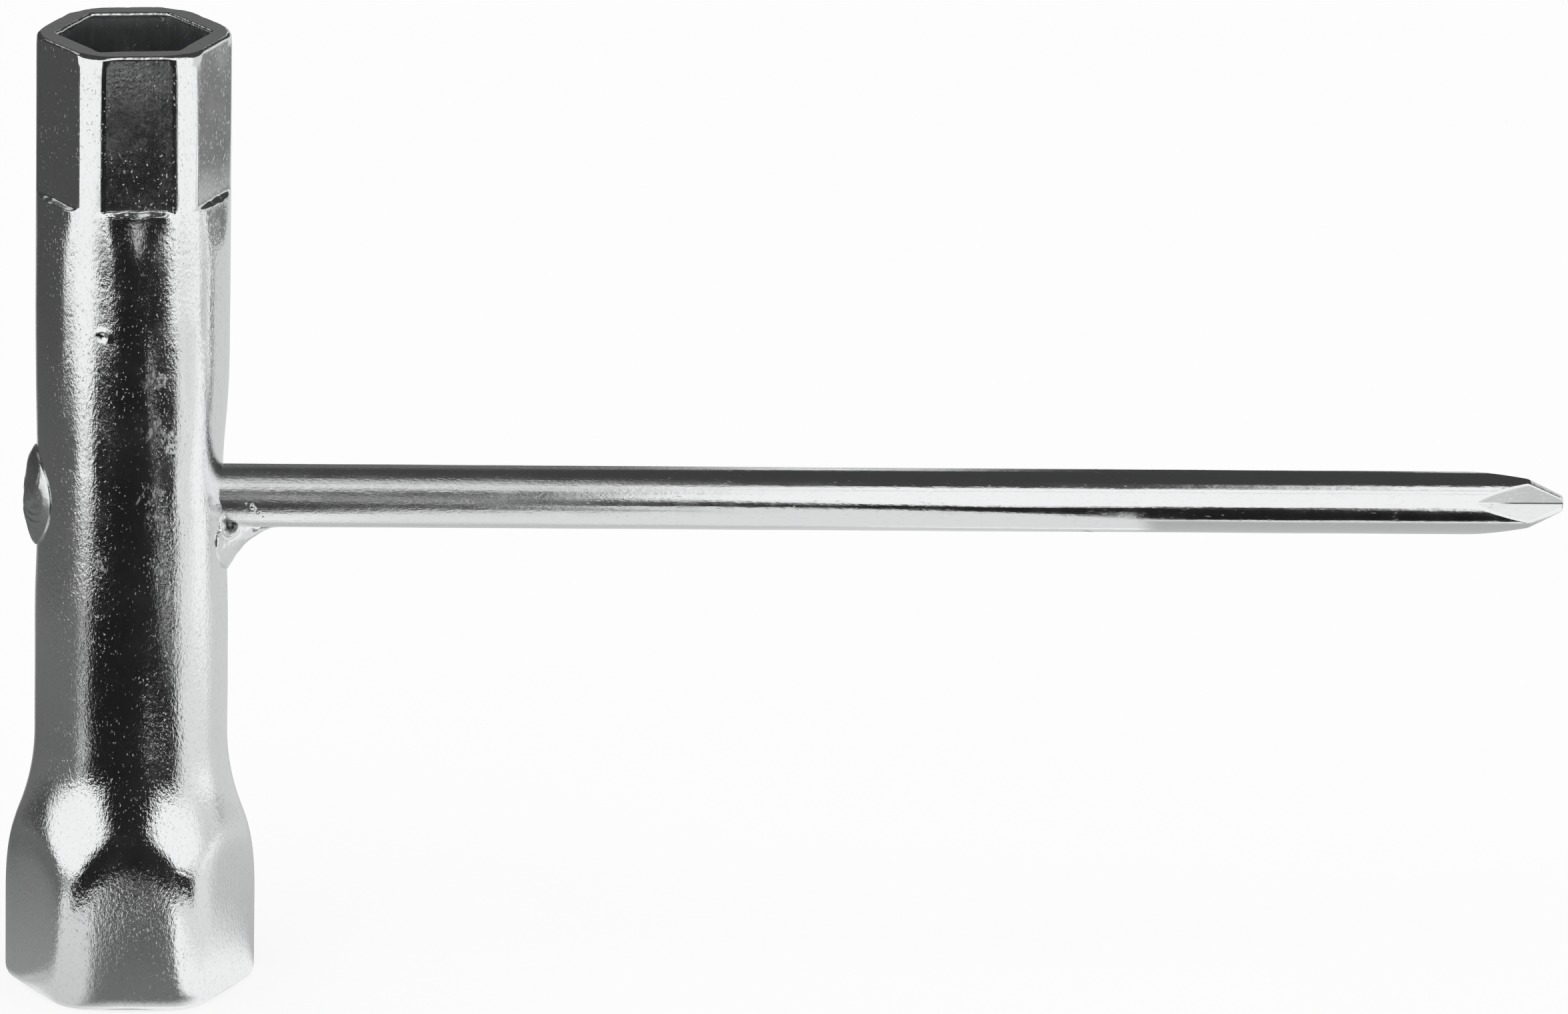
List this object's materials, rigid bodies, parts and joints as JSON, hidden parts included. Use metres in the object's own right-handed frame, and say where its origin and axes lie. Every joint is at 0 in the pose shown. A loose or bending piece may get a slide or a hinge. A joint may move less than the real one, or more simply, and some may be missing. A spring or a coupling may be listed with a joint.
{
  "type": "socket wrench",
  "caption": "Welded T-handle tubular box spanner with a narrow and a wide hexagon socket, and a round bar handle that ends in a cross-slot screwdriver tip; bright plated steel.",
  "frame": {"origin": "centre of the wide socket's mouth, on the tube's axis", "axes": "+Z along the tube's axis towards the narrow socket, +X along the bar towards its screwdriver tip"},
  "size_m": [0.1535, 0.0226, 0.0975],
  "materials": {
    "plated_tube": "bright plating over pressed tube, finely pitted",
    "plated_bar": "bright plating over drawn bar, with drawing lines along it",
    "plated_weld": "bright plating over rippled weld metal"
  },
  "bodies": {
    "root": {"socket_tube": "plated_tube", "tommy_bar": "plated_bar", "fillet_weld": "plated_weld", "end_weld": "plated_weld"}
  },
  "joints": []
}
